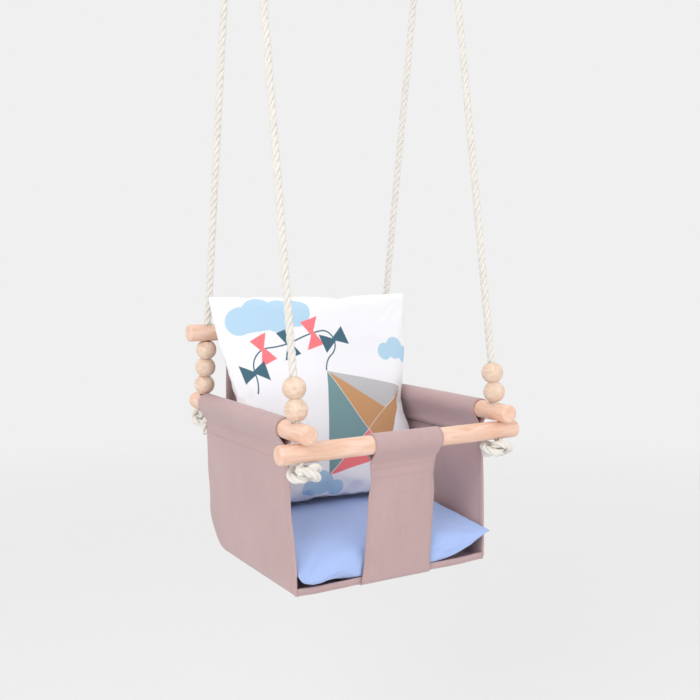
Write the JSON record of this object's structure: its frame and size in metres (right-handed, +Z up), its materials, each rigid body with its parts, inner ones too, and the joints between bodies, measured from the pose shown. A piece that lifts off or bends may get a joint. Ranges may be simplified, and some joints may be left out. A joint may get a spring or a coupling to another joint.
{
  "type": "toddler bucket swing",
  "caption": "Toddler bucket swing: canvas seat with a crotch strap and loose cushions, hung from wooden bars and beads on ropes that rise to rings.",
  "frame": {"origin": "midway between the two rings, on the line through the top of their eyes, where two hooks carry the swing", "axes": "+X towards the side of the rings that the picture shows on the right, which is the seated child's left; -Y towards the front, where the strap is; +Z up, along the hanging line mount"},
  "size_m": [0.37, 0.37, 1.2311],
  "materials": {
    "steel": "satin",
    "thimble_steel": "satin",
    "rope": "matte",
    "lashing": "matte",
    "bar_wood": "satin",
    "bead_wood": "satin",
    "canvas": "matte",
    "seat_cushion_fabric": "matte",
    "back_cushion_fabric": "matte",
    "fill": "matte"
  },
  "bodies": {
    "rings": {"left_ring": "steel", "right_ring": "steel"},
    "top_loops": {"left_thimble": "thimble_steel", "right_thimble": "thimble_steel", "left_rope_eye": "rope", "right_rope_eye": "rope", "left_lashing": "lashing", "right_lashing": "lashing"},
    "left_ropes": {"left_front_rope": "rope", "left_rear_rope": "rope"},
    "right_ropes": {"right_front_rope": "rope", "right_rear_rope": "rope"},
    "seat": {"left_front_knot": "rope", "right_front_knot": "rope", "left_rear_knot": "rope", "right_rear_knot": "rope", "left_armrest": "bar_wood", "right_armrest": "bar_wood", "front_bar": "bar_wood", "rear_bar": "bar_wood", "left_side_panel": "canvas", "right_side_panel": "canvas", "seat_panel": "canvas", "back_panel": "canvas", "crotch_strap": "canvas", "seat_cushion_cover": "seat_cushion_fabric", "seat_cushion_fill": "fill"},
    "back_cushion": {"back_cushion_cover": "back_cushion_fabric", "back_cushion_fill": "fill"},
    "left_front_bead_lower": {"left_front_bead_lower": "bead_wood"},
    "left_front_bead_upper": {"left_front_bead_upper": "bead_wood"},
    "left_rear_bead_lower": {"left_rear_bead_lower": "bead_wood"},
    "left_rear_bead_middle": {"left_rear_bead_middle": "bead_wood"},
    "left_rear_bead_upper": {"left_rear_bead_upper": "bead_wood"},
    "right_front_bead_lower": {"right_front_bead_lower": "bead_wood"},
    "right_front_bead_upper": {"right_front_bead_upper": "bead_wood"},
    "right_rear_bead_lower": {"right_rear_bead_lower": "bead_wood"},
    "right_rear_bead_middle": {"right_rear_bead_middle": "bead_wood"},
    "right_rear_bead_upper": {"right_rear_bead_upper": "bead_wood"}
  },
  "joints": [
    {"name": "swing", "type": "hinge", "parent": "rings", "child": "top_loops", "pos_m": [0, 0, -0.048], "axis": [1, 0, 0], "range_deg": [-40, 40]},
    {"name": "left_sway", "type": "hinge", "parent": "top_loops", "child": "left_ropes", "pos_m": [-0.155, 0, -0.119], "axis": [0, 0.9379, 0.347], "range_deg": [-10, 10]},
    {"name": "right_sway", "type": "hinge", "parent": "top_loops", "child": "right_ropes", "pos_m": [0.155, 0, -0.119], "axis": [0, 0.9379, 0.347], "range_deg": [-10, 10]},
    {"name": "seat_level", "type": "hinge", "parent": "left_ropes", "child": "seat", "pos_m": [-0.155, -0.14109, -0.9975], "axis": [0, 0.9379, 0.347], "range_deg": [-10, 10]},
    {"name": "back_cushion_lift", "type": "slide", "parent": "seat", "child": "back_cushion", "axis": [0, -0.2079, 0.9781], "range_m": [0, 0.3]},
    {"name": "left_front_bead_lower_slide", "type": "slide", "parent": "left_ropes", "child": "left_front_bead_lower", "axis": [0, 0.1513, 0.9885], "range_m": [0, 0.4]},
    {"name": "left_front_bead_upper_slide", "type": "slide", "parent": "left_front_bead_lower", "child": "left_front_bead_upper", "axis": [0, 0.1513, 0.9885], "range_m": [0, 0.4]},
    {"name": "left_rear_bead_lower_spin", "type": "hinge", "parent": "seat", "child": "left_rear_bead_lower", "pos_m": [-0.155, 0.16214, -0.98282], "axis": [0, -0.176, 0.9844], "continuous": true},
    {"name": "left_rear_bead_middle_spin", "type": "hinge", "parent": "seat", "child": "left_rear_bead_middle", "pos_m": [-0.155, 0.15737, -0.95615], "axis": [0, -0.176, 0.9844], "continuous": true},
    {"name": "left_rear_bead_upper_spin", "type": "hinge", "parent": "seat", "child": "left_rear_bead_upper", "pos_m": [-0.155, 0.1526, -0.92947], "axis": [0, -0.176, 0.9844], "continuous": true},
    {"name": "right_front_bead_lower_slide", "type": "slide", "parent": "right_ropes", "child": "right_front_bead_lower", "axis": [0, 0.1513, 0.9885], "range_m": [0, 0.4]},
    {"name": "right_front_bead_upper_slide", "type": "slide", "parent": "right_front_bead_lower", "child": "right_front_bead_upper", "axis": [0, 0.1513, 0.9885], "range_m": [0, 0.4]},
    {"name": "right_rear_bead_lower_spin", "type": "hinge", "parent": "seat", "child": "right_rear_bead_lower", "pos_m": [0.155, 0.16214, -0.98282], "axis": [0, -0.176, 0.9844], "continuous": true},
    {"name": "right_rear_bead_middle_spin", "type": "hinge", "parent": "seat", "child": "right_rear_bead_middle", "pos_m": [0.155, 0.15737, -0.95615], "axis": [0, -0.176, 0.9844], "continuous": true},
    {"name": "right_rear_bead_upper_spin", "type": "hinge", "parent": "seat", "child": "right_rear_bead_upper", "pos_m": [0.155, 0.1526, -0.92947], "axis": [0, -0.176, 0.9844], "continuous": true}
  ],
  "couplings": [
    {"joint": "right_sway", "follows": "left_sway", "ratio": 1},
    {"joint": "seat_level", "follows": "left_sway", "ratio": -1}
  ]
}
